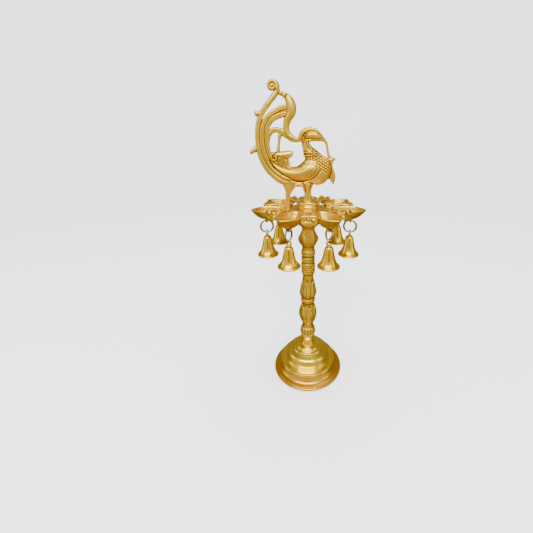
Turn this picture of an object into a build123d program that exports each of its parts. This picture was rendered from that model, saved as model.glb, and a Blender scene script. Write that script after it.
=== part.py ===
from build123d import *
import os

# Brass standing oil lamp with a ring of leaf-shaped oil wells, hanging bells and a peacock
# finial. Millimetres, +Z up, origin on the stem's axis at the bottom of the base.
# The front of the lamp faces -Y and the peacock looks towards +X.

# ---- overall layout: the stacked sections along the stem's axis
BASE_HEIGHT = 62.0
LOWER_STEM_LENGTH = 110.5
UPPER_STEM_LENGTH = 75.5
HUB_HEIGHT = 26.3
SEAT_HEIGHT = 11.2
FINIAL_HEIGHT = 146.3

# ---- base: a hollow stepped dome, named from the floor upwards
BASE_RADIUS = 56.0
FLANGE_EDGE = 3.2
BASE_WALL = 2.4
FIRST_STEP_RADIUS = 44.0
FIRST_STEP_HEIGHT = 19.6
SECOND_STEP_RADIUS = 35.0
SECOND_STEP_RISE = 3.0
THIRD_STEP_RADIUS = 24.2
THIRD_STEP_HEIGHT = 42.6
FOURTH_STEP_RADIUS = 19.4
FOURTH_STEP_RISE = 3.4
NECK_RADIUS = 9.6

# ---- screwed joints between the sections: a round spigot in a round socket
SPIGOT_RADIUS = 5.0
SPIGOT_LENGTH = 15.0
SPIGOT_CLEARANCE = 0.08
SOCKET_END_GAP = 1.0
STUD_RADIUS = 3.0
STUD_LENGTH = 7.0

# ---- stem sections
STEM_WAIST = 8.8
COLLAR_RADIUS = 12.5
LOWER_BALUSTER_RADIUS = 13.3
UPPER_BALUSTER_RADIUS = 12.0
MIDDLE_RING_RADIUS = 11.0
DRUM_RADIUS = 9.9
DRUM_GROOVE = 0.9
KNOB_RADIUS = 13.8
STEM_TOP_RADIUS = 10.2

# ---- lamp tray: hub, oil wells, scrolls and lugs
LAMP_COUNT = 7
LAMP_INNER_RADIUS = 30.0
LAMP_CORNER_RADIUS = 60.0
LAMP_TIP_RADIUS = 78.16
LAMP_HALF_WIDTH = 15.0
LAMP_DEPTH = 12.2
LAMP_WALL = 1.8
LAMP_RIM_RISE = 1.7
HUB_RADIUS = 38.0
HUB_EDGE = 4.5
SEAT_RADIUS = 14.3
SEAT_STEP = 1.3
SCROLL_WIDTH = 11.0
SCROLL_REACH = 62.0
VOLUTE_RADIUS = 4.2
LUG_WIDTH = 8.0
LUG_THICKNESS = 3.0
LUG_SETBACK = 2.0
LUG_BELOW_HOLE = 2.3

# ---- bells on their rings
RING_RADIUS = 8.4
RING_WIRE = 2.0
LINK_GAP = 0.05
LUG_HOLE_DIAMETER = 3.2
BELL_EYE_RADIUS = 3.2
BELL_EYE_WIRE = 2.5
BELL_HEIGHT = 28.6
BELL_RIM_RADIUS = 14.8
BELL_WALL = 1.5
STAPLE_RADIUS = 2.0
STAPLE_WIRE = 1.2
CLAPPER_EYE_RADIUS = 2.0
CLAPPER_WIRE = 1.2
CLAPPER_BALL_RADIUS = 3.0
CLAPPER_RIM_CLEARANCE = 4.4

# ---- peacock: its outlines are drawn for one height and then scaled to FINIAL_HEIGHT
DRAWN_HEIGHT = 146.3
ANKLE_RISE = 4.0
TAIL_KNOB_RADIUS = 3.9
TAIL_THICKNESS = 7.0
CREST_THICKNESS = 10.0
BODY_THICKNESS = 20.0
LEG_THICKNESS = 6.0
STRAND_THICKNESS = 4.0

# ---- levels that follow from the sizes above
LOWER_STEM_Z = BASE_HEIGHT
UPPER_STEM_Z = LOWER_STEM_Z + LOWER_STEM_LENGTH
TRAY_Z = UPPER_STEM_Z + UPPER_STEM_LENGTH
HUB_TOP_Z = TRAY_Z + HUB_HEIGHT
RIM_Z = HUB_TOP_Z + LAMP_RIM_RISE
SEAT_TOP_Z = HUB_TOP_Z + SEAT_HEIGHT
LAMP_BOTTOM_Z = RIM_Z - LAMP_DEPTH
BELL_CIRCLE_RADIUS = LAMP_CORNER_RADIUS - LUG_SETBACK
LUG_HOLE_Z = LAMP_BOTTOM_Z - LUG_HOLE_DIAMETER / 2 - 0.5
RING_INSIDE = RING_RADIUS - RING_WIRE / 2
RING_SAG = RING_INSIDE - (RING_INSIDE**2 - (LUG_THICKNESS / 2) ** 2) ** 0.5
RING_TOP_Z = LUG_HOLE_Z - LUG_HOLE_DIAMETER / 2 + RING_WIRE / 2 + RING_SAG + LINK_GAP
RING_CENTRE_Z = RING_TOP_Z - RING_RADIUS
RING_BOTTOM_Z = RING_CENTRE_Z - RING_RADIUS
BELL_EYE_TOP_Z = RING_BOTTOM_Z + (RING_WIRE + BELL_EYE_WIRE) / 2 + LINK_GAP
BELL_EYE_Z = BELL_EYE_TOP_Z - BELL_EYE_RADIUS
BELL_CROWN_Z = BELL_EYE_Z - BELL_EYE_RADIUS - BELL_EYE_WIRE / 2 + 0.5
BELL_RIM_Z = BELL_CROWN_Z - BELL_HEIGHT
STAPLE_Z = BELL_CROWN_Z - BELL_WALL - STAPLE_WIRE
CLAPPER_PIVOT_Z = STAPLE_Z - STAPLE_RADIUS + (STAPLE_WIRE + CLAPPER_WIRE) / 2 + LINK_GAP
CLAPPER_EYE_Z = CLAPPER_PIVOT_Z - CLAPPER_EYE_RADIUS
CLAPPER_BALL_Z = BELL_RIM_Z + CLAPPER_RIM_CLEARANCE
FINIAL_SCALE = FINIAL_HEIGHT / DRAWN_HEIGHT


def turned(edges):
    """Solid of revolution about Z from edges drawn in (radius, height)."""
    outline = list(edges)
    first = outline[0] @ 0
    last = outline[-1] @ 1
    if (first - last).length > 1e-6:
        outline.append(Line(last, first))
    return revolve(Plane.XZ * make_face(outline), Axis.Z)


def path(*points):
    """Straight run through points given as (radius, height)."""
    return Polyline(*points).edges()


def disc(radius, low, high):
    """Round bar on the axis between two heights."""
    return Pos(0, 0, low) * Cylinder(radius, high - low, align=(Align.CENTER, Align.CENTER, Align.MIN))


def socket(low, high, radius=SPIGOT_RADIUS):
    """Blind hole that takes a spigot or stud with the screwed joint's clearance."""
    return disc(radius + SPIGOT_CLEARANCE, low, high)


# ---------------------------------------------------------------- base and stem
def base_outline(inset):
    """Stepped dome from the flange up to the foot of the neck, drawn inset from the outside."""
    top_of_first = FIRST_STEP_HEIGHT - inset
    foot_of_dome = FIRST_STEP_HEIGHT + SECOND_STEP_RISE - inset
    dome_top = THIRD_STEP_HEIGHT - inset
    flange_inner = BASE_RADIUS - 3.0
    first = FIRST_STEP_RADIUS - inset
    second = SECOND_STEP_RADIUS - inset
    third = THIRD_STEP_RADIUS - inset
    fourth = FOURTH_STEP_RADIUS - inset
    cove_middle = ((flange_inner - inset) * 0.35 + first * 0.65, FLANGE_EDGE + 0.35 * top_of_first)
    cove = ThreePointArc((flange_inner - inset, FLANGE_EDGE), cove_middle, (first, top_of_first - 3.0))
    bead = ThreePointArc((first, top_of_first - 3.0), (first + 0.7, top_of_first - 1.5), (first, top_of_first))
    tread = path((first, top_of_first), (second, top_of_first), (second, foot_of_dome - 0.8))
    dome_start = (second - 0.8, foot_of_dome)
    dome_end = (third, dome_top - 3.4)
    dome_middle = (0.32 * third + 0.68 * second + 1.2, 0.5 * (foot_of_dome + dome_top))
    dome = ThreePointArc(dome_start, dome_middle, dome_end)
    ring = ThreePointArc(dome_end, (third + 0.7, dome_top - 1.7), (third - 0.6, dome_top))
    rise = path((third - 0.6, dome_top), (fourth, dome_top), (fourth, dome_top + FOURTH_STEP_RISE))
    edges = [cove, bead] + list(tread) + [Line((second, foot_of_dome - 0.8), dome_start), dome, ring]
    return edges + list(rise)


def base():
    """Hollow base with a solid neck that is bored for the lower stem's spigot."""
    flange_inner = BASE_RADIUS - 3.0
    tread_z = THIRD_STEP_HEIGHT + FOURTH_STEP_RISE
    edge = ThreePointArc((BASE_RADIUS - 0.8, 0), (BASE_RADIUS, FLANGE_EDGE / 2), (BASE_RADIUS - 0.8, FLANGE_EDGE))
    floor = path((0, 0), (BASE_RADIUS - 0.8, 0))
    lip = path((BASE_RADIUS - 0.8, FLANGE_EDGE), (flange_inner, FLANGE_EDGE))
    neck_foot = NECK_RADIUS + 3.2
    shoulder = path((FOURTH_STEP_RADIUS, tread_z), (neck_foot, tread_z))
    flare = ThreePointArc((neck_foot, tread_z), (NECK_RADIUS + 1.0, tread_z + 1.1), (NECK_RADIUS, tread_z + 3.6))
    neck = path((NECK_RADIUS, tread_z + 3.6), (NECK_RADIUS, BASE_HEIGHT), (0, BASE_HEIGHT), (0, 0))
    outside = list(floor) + [edge] + list(lip) + base_outline(0) + list(shoulder) + [flare] + list(neck)
    ceiling = THIRD_STEP_HEIGHT + FOURTH_STEP_RISE - BASE_WALL
    hollow_start = path((0, 0), (flange_inner - BASE_WALL, 0), (flange_inner - BASE_WALL, FLANGE_EDGE))
    hollow_end = path((FOURTH_STEP_RADIUS - BASE_WALL, ceiling), (0, ceiling), (0, 0))
    hollow = turned(list(hollow_start) + base_outline(BASE_WALL) + list(hollow_end))
    return turned(outside) - hollow - socket(BASE_HEIGHT - SPIGOT_LENGTH - SOCKET_END_GAP, BASE_HEIGHT)


def lower_stem():
    """Fluted collar and two leaf balusters; spigot below, socket above."""
    z = LOWER_STEM_Z
    top = UPPER_STEM_Z
    bottom_radius = NECK_RADIUS + 0.2
    collar = ThreePointArc((bottom_radius, z), (COLLAR_RADIUS, z + 8.3), (STEM_WAIST + 1.4, z + 17.0))
    waist = ThreePointArc((STEM_WAIST + 1.4, z + 17.0), (STEM_WAIST, z + 21.0), (STEM_WAIST + 0.1, z + 25.5))
    lower = Spline(
        (STEM_WAIST + 0.1, z + 25.5),
        (LOWER_BALUSTER_RADIUS - 2.4, z + 33.0),
        (LOWER_BALUSTER_RADIUS, z + 42.0),
        (LOWER_BALUSTER_RADIUS - 2.9, z + 56.0),
        (STEM_WAIST + 0.7, z + 63.0),
    )
    ring_start = (STEM_WAIST + 0.7, z + 63.0)
    ring_end = (STEM_WAIST + 0.9, z + 72.5)
    ring = ThreePointArc(ring_start, (MIDDLE_RING_RADIUS, z + 67.7), ring_end)
    upper = Spline(
        ring_end,
        (UPPER_BALUSTER_RADIUS - 1.4, z + 77.5),
        (UPPER_BALUSTER_RADIUS, z + 84.5),
        (UPPER_BALUSTER_RADIUS - 2.4, top - 9.0),
        (STEM_WAIST - 0.4, top - 1.5),
    )
    cap = path((STEM_WAIST - 0.4, top - 1.5), (STEM_WAIST - 0.4, top), (0, top), (0, z), (bottom_radius, z))
    body = turned([collar, waist, lower, ring, upper] + list(cap))
    body = body + disc(SPIGOT_RADIUS, z - SPIGOT_LENGTH, z + 1.0)
    return body - socket(top - SPIGOT_LENGTH - SOCKET_END_GAP, top)


def upper_stem():
    """Banded drum and round knob under the tray; spigots at both ends."""
    z = UPPER_STEM_Z
    top = TRAY_Z
    groove_radius = DRUM_RADIUS - DRUM_GROOVE
    bands = ((3.0, 20.5), (22.5, 30.0), (32.0, 41.0))
    edges = list(path((0, z), (STEM_WAIST - 0.2, z), (groove_radius, z + bands[0][0])))
    for low, high in bands:
        start = (groove_radius, z + low)
        end = (groove_radius, z + high)
        shoulder = 0.9
        edges.append(ThreePointArc(start, (DRUM_RADIUS - 0.2, z + low + 0.35), (DRUM_RADIUS, z + low + shoulder)))
        edges.append(Line((DRUM_RADIUS, z + low + shoulder), (DRUM_RADIUS, z + high - shoulder)))
        edges.append(ThreePointArc((DRUM_RADIUS, z + high - shoulder), (DRUM_RADIUS - 0.2, z + high - 0.35), end))
    for (_, low), (high, _) in zip(bands, bands[1:]):
        edges.append(Line((groove_radius, z + low), (groove_radius, z + high)))
    knob = Spline(
        (groove_radius, z + bands[-1][1]),
        (groove_radius + 0.4, z + 46.5),
        (KNOB_RADIUS - 0.7, z + 53.0),
        (KNOB_RADIUS, z + 57.3),
        (KNOB_RADIUS - 3.4, z + 67.0),
        (groove_radius + 0.1, top - 3.6),
        (STEM_TOP_RADIUS, top),
    )
    edges.append(knob)
    edges += list(path((STEM_TOP_RADIUS, top), (0, top), (0, z)))
    body = turned(Wire(edges).edges())
    return body + disc(SPIGOT_RADIUS, z - SPIGOT_LENGTH, z + 1.0) + disc(SPIGOT_RADIUS, top - 1.0, top + SPIGOT_LENGTH)


# ---------------------------------------------------------------- lamp tray
def around(number, offset=0.5):
    """Rotation that carries a shape drawn towards +X onto one of the stations of the tray."""
    return Rot(0, 0, -90 + 360 / LAMP_COUNT * (number + offset))


def leaf(inner, corner, tip, half_width, z):
    """Leaf outline with its point outwards, in the plane at one height."""
    back = (0.5 * (inner + corner) - 2.2, 0.5 * half_width + 2.6)
    front = (0.5 * (corner + tip) + 0.8, 0.5 * half_width + 1.6)
    edges = [
        ThreePointArc((inner, 0), back, (corner, half_width)),
        ThreePointArc((corner, half_width), front, (tip, 0)),
        ThreePointArc((tip, 0), (front[0], -front[1]), (corner, -half_width)),
        ThreePointArc((corner, -half_width), (back[0], -back[1]), (inner, 0)),
    ]
    return Pos(0, 0, z) * make_face(edges)


def lamp_body():
    """Outside of one oil well, drawn towards +X."""
    floor = leaf(
        LAMP_INNER_RADIUS + 10.0, LAMP_CORNER_RADIUS - 3.0, LAMP_TIP_RADIUS - 13.0,
        LAMP_HALF_WIDTH - 7.0, LAMP_BOTTOM_Z,
    )
    rim = leaf(LAMP_INNER_RADIUS, LAMP_CORNER_RADIUS, LAMP_TIP_RADIUS, LAMP_HALF_WIDTH, RIM_Z)
    return loft([floor, rim], ruled=True)


def lamp_well():
    """Hollow of one oil well, drawn towards +X."""
    point = 1.9 * LAMP_WALL
    floor = leaf(
        LAMP_INNER_RADIUS + 10.0 + point, LAMP_CORNER_RADIUS - 3.0, LAMP_TIP_RADIUS - 13.0 - point,
        LAMP_HALF_WIDTH - 7.0 - LAMP_WALL, LAMP_BOTTOM_Z + LAMP_WALL,
    )
    rim = leaf(
        LAMP_INNER_RADIUS + point, LAMP_CORNER_RADIUS, LAMP_TIP_RADIUS - point,
        LAMP_HALF_WIDTH - LAMP_WALL, RIM_Z,
    )
    return loft([floor, rim], ruled=True)


def lug():
    """Flat tab under an oil well with the hole that carries a ring."""
    bottom = LUG_HOLE_Z - LUG_HOLE_DIAMETER / 2 - LUG_BELOW_HOLE
    corner = LUG_WIDTH / 2
    top = LAMP_BOTTOM_Z + LAMP_WALL / 2
    outline = [
        Line((corner, top), (-corner, top)),
        Line((-corner, top), (-corner, bottom + corner)),
        ThreePointArc((-corner, bottom + corner), (0, bottom), (corner, bottom + corner)),
        Line((corner, bottom + corner), (corner, top)),
    ]
    tab = extrude(Plane.YZ * make_face(outline), LUG_THICKNESS / 2, both=True)
    hole = Pos(0, 0, LUG_HOLE_Z) * Rot(0, 90, 0) * Cylinder(LUG_HOLE_DIAMETER / 2, 2 * LUG_THICKNESS)
    return Pos(BELL_CIRCLE_RADIUS, 0, 0) * (tab - hole)


def scroll():
    """Curled leaf between two oil wells, with a pair of volutes at its brow."""
    root = HUB_RADIUS - 1.5
    reach = SCROLL_REACH
    crown = RIM_Z + 2.6
    outline = Spline(
        (root, HUB_TOP_Z - 3.0),
        (root + 4.0, crown - 1.6),
        (reach - 13.0, crown),
        (reach - 3.0, crown - 5.0),
        (reach, RIM_Z - 8.5),
        (reach - 5.5, RIM_Z - 9.5),
        (reach - 12.0, RIM_Z - 5.6),
        periodic=True,
    )
    frond = extrude(Plane.XZ * make_face(outline), SCROLL_WIDTH / 2, both=True)
    volute = Rot(0, 90, 0) * Cylinder(VOLUTE_RADIUS, 9.0)
    left = Pos(reach - 9.0, SCROLL_WIDTH / 2, RIM_Z - 2.5) * volute
    right = Pos(reach - 9.0, -SCROLL_WIDTH / 2, RIM_Z - 2.5) * volute
    return frond + left + right


def hub():
    """Flared hub that grows out of the stem and spreads under the oil wells."""
    z = TRAY_Z
    edge_z = HUB_TOP_Z - HUB_EDGE
    under = Spline(
        (STEM_TOP_RADIUS, z),
        (STEM_TOP_RADIUS + 4.0, z + 4.0),
        (0.5 * (STEM_TOP_RADIUS + HUB_RADIUS), 0.42 * z + 0.58 * edge_z),
        (HUB_RADIUS - 1.0, edge_z),
    )
    edge = ThreePointArc(
        (HUB_RADIUS - 1.0, edge_z), (HUB_RADIUS, HUB_TOP_Z - HUB_EDGE / 2), (HUB_RADIUS - 1.0, HUB_TOP_Z)
    )
    rest = path((HUB_RADIUS - 1.0, HUB_TOP_Z), (0, HUB_TOP_Z), (0, z), (STEM_TOP_RADIUS, z))
    return turned([under, edge] + list(rest))


def lamp_tray():
    """One casting: hub, oil wells, scrolls and lugs."""
    tray = hub()
    for number in range(LAMP_COUNT):
        tray += around(number) * (lamp_body() + lug())
        tray += around(number, 0.0) * scroll()
    for number in range(LAMP_COUNT):
        tray -= around(number) * lamp_well()
    tray -= socket(TRAY_Z, TRAY_Z + SPIGOT_LENGTH + SOCKET_END_GAP)
    return tray - socket(HUB_TOP_Z - STUD_LENGTH - SOCKET_END_GAP, HUB_TOP_Z, STUD_RADIUS)


def finial_seat():
    """Turned two-step disc that the peacock's stud clamps to the tray."""
    z = HUB_TOP_Z
    step_z = z + 0.6 * SEAT_HEIGHT
    top_radius = SEAT_RADIUS - SEAT_STEP
    side = ThreePointArc((SEAT_RADIUS, z), (SEAT_RADIUS + 0.6, z + 0.3 * SEAT_HEIGHT), (SEAT_RADIUS, step_z))
    crown = ThreePointArc((top_radius, step_z), (top_radius, step_z + 3.0), (top_radius - 2.0, SEAT_TOP_Z))
    edges = list(path((0, z), (SEAT_RADIUS, z))) + [side, Line((SEAT_RADIUS, step_z), (top_radius, step_z))]
    edges += [crown] + list(path((top_radius - 2.0, SEAT_TOP_Z), (0, SEAT_TOP_Z), (0, z)))
    return turned(edges) - socket(z, SEAT_TOP_Z, STUD_RADIUS)


# ---------------------------------------------------------------- rings, bells and clappers
def ring():
    """Jump ring that hangs in a lug; it stands in the plane through the stem's axis."""
    return Pos(BELL_CIRCLE_RADIUS, 0, RING_CENTRE_Z) * Rot(90, 0, 0) * Torus(RING_RADIUS, RING_WIRE / 2)


def bell_outline(thickness, points):
    """Bell curve from rim to crown, moved inwards by a wall thickness."""
    height = BELL_HEIGHT - thickness
    curve = []
    for height_share, radius_share in points:
        curve.append((BELL_RIM_RADIUS * radius_share - thickness, BELL_RIM_Z + height * height_share))
    return curve


def bell():
    """Flared bell with a cast eye on its crown and a staple inside for the clapper."""
    flare = (
        (0.045, 0.985), (0.13, 0.885), (0.24, 0.745), (0.37, 0.655), (0.51, 0.595),
        (0.66, 0.50), (0.81, 0.415), (0.93, 0.33),
    )
    outer = bell_outline(0.0, flare)
    inner = bell_outline(BELL_WALL, flare)
    inner_crown = BELL_CROWN_Z - BELL_WALL
    outside = [Spline((BELL_RIM_RADIUS, BELL_RIM_Z), *outer, (1.2, BELL_CROWN_Z))]
    outside += list(path((1.2, BELL_CROWN_Z), (0, BELL_CROWN_Z), (0, BELL_RIM_Z), (BELL_RIM_RADIUS, BELL_RIM_Z)))
    mouth = BELL_RIM_RADIUS - BELL_WALL
    inside = [Spline((mouth, BELL_RIM_Z), *inner, (0.8, inner_crown))]
    inside += list(path((0.8, inner_crown), (0, inner_crown), (0, BELL_RIM_Z), (mouth, BELL_RIM_Z)))
    shell = turned(outside) - turned(inside)
    eye = Pos(0, 0, BELL_EYE_Z) * Rot(0, 90, 0) * Torus(BELL_EYE_RADIUS, BELL_EYE_WIRE / 2)
    staple = Pos(0, 0, STAPLE_Z) * Rot(0, 90, 0) * Torus(STAPLE_RADIUS, STAPLE_WIRE / 2)
    above = disc(BELL_RIM_RADIUS, BELL_CROWN_Z - BELL_WALL / 2, BELL_EYE_TOP_Z)
    staple = staple - above
    return Pos(BELL_CIRCLE_RADIUS, 0, 0) * (shell + eye + staple)


def clapper():
    """Wire eye, shank and ball that hang from the staple."""
    eye = Pos(0, 0, CLAPPER_EYE_Z) * Rot(90, 0, 0) * Torus(CLAPPER_EYE_RADIUS, CLAPPER_WIRE / 2)
    shank = disc(CLAPPER_WIRE / 2 + 0.2, CLAPPER_BALL_Z, CLAPPER_EYE_Z - CLAPPER_EYE_RADIUS)
    ball = Pos(0, 0, CLAPPER_BALL_Z) * Sphere(CLAPPER_BALL_RADIUS)
    return Pos(BELL_CIRCLE_RADIUS, 0, 0) * (eye + shank + ball)


# ---------------------------------------------------------------- peacock finial
def silhouette(points, thickness):
    """Plate in the bird's plane from a smooth closed outline, given from the ankles upwards."""
    return extrude(Plane.XZ * make_face(Spline(*points, periodic=True)), thickness / 2, both=True)


def tail():
    """Upswept tail with its plume, paisley leaf and open scrollwork."""
    fan = silhouette(
        [(-28, 21), (-46, 28), (-59, 42), (-66, 60), (-67, 82), (-63, 101), (-54, 112), (-43, 122),
         (-37, 130), (-33, 128), (-31, 123), (-25, 127), (-18, 119), (-16.5, 106), (-24, 95),
         (-24, 88), (-18, 77), (-9, 76), (-6, 66), (-12, 45), (-14, 30)],
        TAIL_THICKNESS,
    )
    curl = Pos(-43, 0, 134.2) * Rot(90, 0, 0) * Cylinder(8.1, TAIL_THICKNESS + 1.0)
    upper_knob = Pos(-63.5, 0, 104.5) * Sphere(TAIL_KNOB_RADIUS)
    lower_knob = Pos(-72.3, 0, 60.0) * Sphere(TAIL_KNOB_RADIUS)
    arm = Pos(-67, 0, 62.0) * Rot(0, 60, 0) * Cylinder(2.6, 10.0)
    openings = (
        [(-48.5, 104.5), (-40, 117.5), (-33, 121.5), (-28, 118), (-33, 113), (-41, 108.5)],
        [(-45, 89.5), (-40, 97), (-32, 99), (-30.8, 93), (-31, 88), (-39, 87.5)],
        [(-43.5, 81), (-49.5, 70), (-48.5, 62), (-43, 60.5), (-40.2, 66), (-39, 76)],
        [(-36, 60), (-36.5, 70), (-32, 75), (-22, 71.5), (-12, 70.5), (-8.5, 60), (-4.5, 50),
         (-9, 42), (-18, 39.8), (-27.5, 43), (-27, 50), (-20, 52.5), (-20, 57.5), (-27, 59.3)],
    )
    plate = fan + curl + upper_knob + lower_knob + arm
    for opening in openings:
        plate -= silhouette(opening, 4 * TAIL_THICKNESS)
    return plate


def body():
    """Boat-shaped body: its side outline crossed with a lens seen from above."""
    side = silhouette(
        [(-30, 22), (-10, 15.5), (8, 15.5), (24, 21), (30, 31), (29, 42), (22, 50.5), (10, 58), (-2, 58),
         (-7, 52), (-9, 44), (-20, 37.5), (-33, 33)],
        BODY_THICKNESS + 4.0,
    )
    half = BODY_THICKNESS / 2
    lens = [
        ThreePointArc((-42, 0), (3, half), (36, 0)),
        ThreePointArc((36, 0), (3, -half), (-42, 0)),
    ]
    return side & extrude(make_face(lens), 70.0)


def head():
    """Neck, domed crest and the drooping strand that ends in a leaf and a drop."""
    neck = silhouette([(-9, 78), (-7, 62), (-5, 52), (6, 54), (2, 62), (1, 70), (4, 76)], CREST_THICKNESS)
    crest = silhouette(
        [(-12, 75), (-8, 82), (0, 87), (9, 86), (17, 80), (23, 71), (21, 69.5), (12, 73), (2, 71), (-8, 71)],
        CREST_THICKNESS,
    )
    strand = silhouette(
        [(19, 74), (24, 69), (26, 60), (28, 53), (35, 49.5), (31, 43), (33, 30), (35.6, 23), (33, 17.5),
         (28, 21), (25, 27), (25, 40), (23.5, 52), (21.5, 64)],
        STRAND_THICKNESS,
    )
    return neck + crest + strand


def legs():
    """Rear support that stands on the tray and front leg that stands on the seat."""
    tray = -ANKLE_RISE - SEAT_HEIGHT / FINIAL_SCALE
    seat = -ANKLE_RISE
    rear_edges = [
        Spline((-33.5, tray), (-31.5, 6), (-33, 14), (-42, 24)),
        Line((-42, 24), (-14, 24)),
        Spline((-14, 24), (-15, 13.6), (-21, 9), (-25, tray)),
        Line((-25, tray), (-33.5, tray)),
    ]
    front_edges = [
        Spline((-7.5, seat), (-6.2, 5), (-9, 11.5), (-15, 14)),
        Line((-15, 14), (-15, 24)),
        Line((-15, 24), (18, 24)),
        Spline((18, 24), (9, 15), (3.2, 7), (5.5, seat)),
        Line((5.5, seat), (-7.5, seat)),
    ]
    rear = extrude(Plane.XZ * make_face(rear_edges), LEG_THICKNESS / 2, both=True)
    front = extrude(Plane.XZ * make_face(front_edges), LEG_THICKNESS / 2 + 1.0, both=True)
    return rear + front


def peacock():
    """Whole finial; its stud passes through the seat into the tray."""
    bird = Pos(0, 0, ANKLE_RISE) * (tail() + body() + head() + legs())
    stud = disc(STUD_RADIUS, -SEAT_HEIGHT - STUD_LENGTH, 1.0)
    return Pos(0, 0, SEAT_TOP_Z) * (scale(bird, FINIAL_SCALE) + stud)


# ---------------------------------------------------------------- files
def save(shape, name):
    shape.label = name
    export_step(shape, f"parts/{name}.step")


os.makedirs("parts", exist_ok=True)
save(base(), "base")
save(lower_stem(), "lower_stem")
save(upper_stem(), "upper_stem")
save(lamp_tray(), "lamp_tray")
save(finial_seat(), "finial_seat")
save(peacock(), "peacock_finial")
one_ring = ring()
one_bell = bell()
one_clapper = clapper()
for station in range(LAMP_COUNT):
    save(around(station) * one_ring, f"bell_ring_{station + 1}")
    save(around(station) * one_bell, f"bell_{station + 1}")
    save(around(station) * one_clapper, f"clapper_{station + 1}")
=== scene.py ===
import math

import bpy
import numpy as np
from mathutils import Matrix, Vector


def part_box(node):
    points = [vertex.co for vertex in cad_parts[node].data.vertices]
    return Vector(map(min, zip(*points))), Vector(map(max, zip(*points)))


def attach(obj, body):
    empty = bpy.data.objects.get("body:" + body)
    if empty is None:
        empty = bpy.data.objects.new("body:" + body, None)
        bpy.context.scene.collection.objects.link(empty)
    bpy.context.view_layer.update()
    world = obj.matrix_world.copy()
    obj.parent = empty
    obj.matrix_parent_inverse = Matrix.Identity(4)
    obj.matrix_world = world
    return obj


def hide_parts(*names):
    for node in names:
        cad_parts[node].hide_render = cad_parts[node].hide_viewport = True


# Brass standing oil lamp. Shapes are worked out in millimetres in the frame's axes and written in metres.
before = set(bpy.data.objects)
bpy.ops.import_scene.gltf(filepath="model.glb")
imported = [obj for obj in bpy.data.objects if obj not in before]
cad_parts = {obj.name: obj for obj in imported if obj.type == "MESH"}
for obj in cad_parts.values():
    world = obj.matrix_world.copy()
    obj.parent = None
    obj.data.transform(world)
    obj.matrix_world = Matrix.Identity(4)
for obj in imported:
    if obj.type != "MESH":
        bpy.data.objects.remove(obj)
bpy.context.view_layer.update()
MM = 0.001
TURN = 2 * math.pi
LAMPS = sum(1 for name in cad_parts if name.startswith("bell_ring_"))


def smooth_step(value, start, end):
    """0 below start, 1 above end and a soft rise between."""
    share = np.clip((value - start) / (end - start), 0, 1)
    return share * share * (3 - 2 * share)


def low(node):
    """Lowest corner of a CAD node in millimetres."""
    return np.array(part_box(node)[0]) / MM


def high(node):
    """Highest corner of a CAD node in millimetres."""
    return np.array(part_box(node)[1]) / MM


# ---------------------------------------------------------------- levels read from the frame
SEAT_TOP = high("finial_seat")[2]
HUB_TOP = low("finial_seat")[2]
BASE_TOP = high("base")[2]
STEM_JOINT = high("lower_stem")[2]
HUB_FOOT = low("lamp_tray")[2]
BIRD_ZERO = high("peacock_finial")[2] - 142.3
BELL_CIRCLE = float(np.hypot(*(0.5 * (low("bell_ring_4") + high("bell_ring_4")))[:2]))


# ---------------------------------------------------------------- curves and meshes
def smooth(points, count, axes=2, grain=24):
    """Catmull-Rom curve through the points, sampled evenly along its length in the first axes."""
    p = np.array(points, float)
    p = np.vstack([2 * p[0] - p[1], p, 2 * p[-1] - p[-2]])
    t = np.linspace(0, 1, grain, endpoint=False)[:, None]
    spans = []
    for a, b, c, d in zip(p, p[1:], p[2:], p[3:]):
        spans.append(0.5 * (2 * b + (c - a) * t + (2 * a - 5 * b + 4 * c - d) * t**2
                            + (3 * b - a - 3 * c + d) * t**3))
    dense = np.vstack(spans + [p[-2:-1]])
    run = np.concatenate([[0], np.cumsum(np.linalg.norm(np.diff(dense[:, :axes], axis=0), axis=1))])
    want = np.linspace(0, run[-1], count)
    return np.stack([np.interp(want, run, dense[:, k]) for k in range(p.shape[1])], 1)


def taper(start, end, count=16):
    """Evenly changing sizes along a curve."""
    return list(np.linspace(start, end, count))


def skin(rings):
    """Closed surface over rings of equal size; a ring of no size closes to a point."""
    rings = np.array(rings, float)
    count, around = rings.shape[:2]
    verts = rings.reshape(-1, 3)
    i = np.arange(count - 1)[:, None] * around
    j = np.arange(around)[None, :]
    k = (j + 1) % around
    faces = np.stack([i + j, i + k, i + around + k, i + around + j], -1).reshape(-1, 4).tolist()
    faces.append(list(range(around))[::-1])
    faces.append(list(range((count - 1) * around, count * around)))
    return verts, faces


def lathe(profile, segments=96, shape=None):
    """Closed solid of revolution from (radius, height) pairs whose ends lie near the axis."""
    angle = np.arange(segments) / segments * TURN
    rings = []
    for radius, height in profile:
        r = np.full(segments, max(radius, 0.02))
        if shape is not None:
            r = shape(r, height, angle)
        rings.append(np.stack([r * np.cos(angle), r * np.sin(angle), np.full(segments, height)], 1))
    return skin(rings)


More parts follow.
